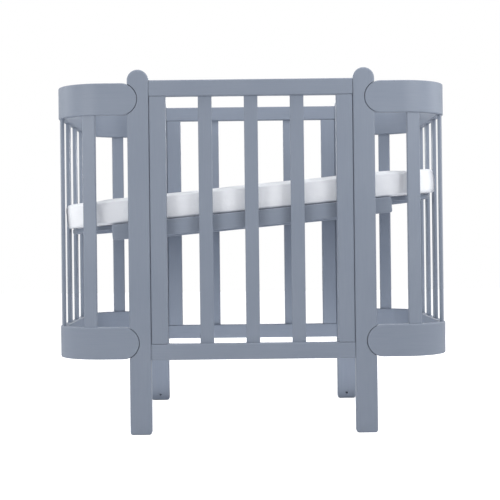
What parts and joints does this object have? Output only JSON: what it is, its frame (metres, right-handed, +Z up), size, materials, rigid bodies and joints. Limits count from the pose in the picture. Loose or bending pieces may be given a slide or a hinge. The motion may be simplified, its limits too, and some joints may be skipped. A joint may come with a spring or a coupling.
{
  "type": "baby crib",
  "caption": "Small baby crib with rounded ends of bent bands and upright slats, four flat posts, straight slatted panels and a tilted, height-adjustable mattress base.",
  "frame": {"origin": "middle of the footprint, on the floor", "axes": "+X along the crib, towards the raised end of the mattress base; +Y from the front panel to the back panel; +Z up"},
  "size_m": [0.926, 0.63, 0.85],
  "materials": {
    "paint": "satin",
    "steel": "satin",
    "cotton": "matte"
  },
  "bodies": {
    "frame": {"band_upper_left": "paint", "band_lower_left": "paint", "end_slat_left_1": "paint", "end_slat_left_2": "paint", "end_slat_left_3": "paint", "end_slat_left_4": "paint", "end_slat_left_5": "paint", "end_slat_left_6": "paint", "end_slat_left_7": "paint", "band_upper_right": "paint", "band_lower_right": "paint", "end_slat_right_1": "paint", "end_slat_right_2": "paint", "end_slat_right_3": "paint", "end_slat_right_4": "paint", "end_slat_right_5": "paint", "end_slat_right_6": "paint", "end_slat_right_7": "paint", "post_front_left": "paint", "post_front_right": "paint", "rail_top_front": "paint", "rail_bottom_front": "paint", "slat_front_1": "paint", "slat_front_2": "paint", "slat_front_3": "paint", "stile_front_left": "paint", "panel_bolt_front_left_lower": "steel", "panel_bolt_front_left_upper": "steel", "stile_front_right": "paint", "panel_bolt_front_right_lower": "steel", "panel_bolt_front_right_upper": "steel", "post_back_left": "paint", "post_back_right": "paint", "rail_top_back": "paint", "rail_bottom_back": "paint", "slat_back_1": "paint", "slat_back_2": "paint", "slat_back_3": "paint", "stile_back_left": "paint", "panel_bolt_back_left_lower": "steel", "panel_bolt_back_left_upper": "steel", "stile_back_right": "paint", "panel_bolt_back_right_lower": "steel", "panel_bolt_back_right_upper": "steel"},
    "base_pivot": {"base_bolt_front_left": "steel", "base_bolt_back_left": "steel"},
    "base": {"base_rail_front": "paint", "base_rail_back": "paint", "base_bolt_front_right": "steel", "base_bolt_back_right": "steel", "base_cross_rail_left": "paint", "base_cross_rail_right": "paint", "base_hoop_left": "paint", "base_hoop_right": "paint", "base_slat_1": "paint", "base_slat_2": "paint", "base_slat_3": "paint", "base_slat_4": "paint", "base_slat_5": "paint", "mattress": "cotton"}
  },
  "joints": [
    {"name": "base_level", "type": "slide", "parent": "frame", "child": "base_pivot", "axis": [0, 0, 1], "range_m": [-0.282, 0]},
    {"name": "base_tilt", "type": "hinge", "parent": "base_pivot", "child": "base", "pos_m": [-0.263, 0, 0.4775], "axis": [0, 1, 0], "range_deg": [0, 5.11]}
  ]
}
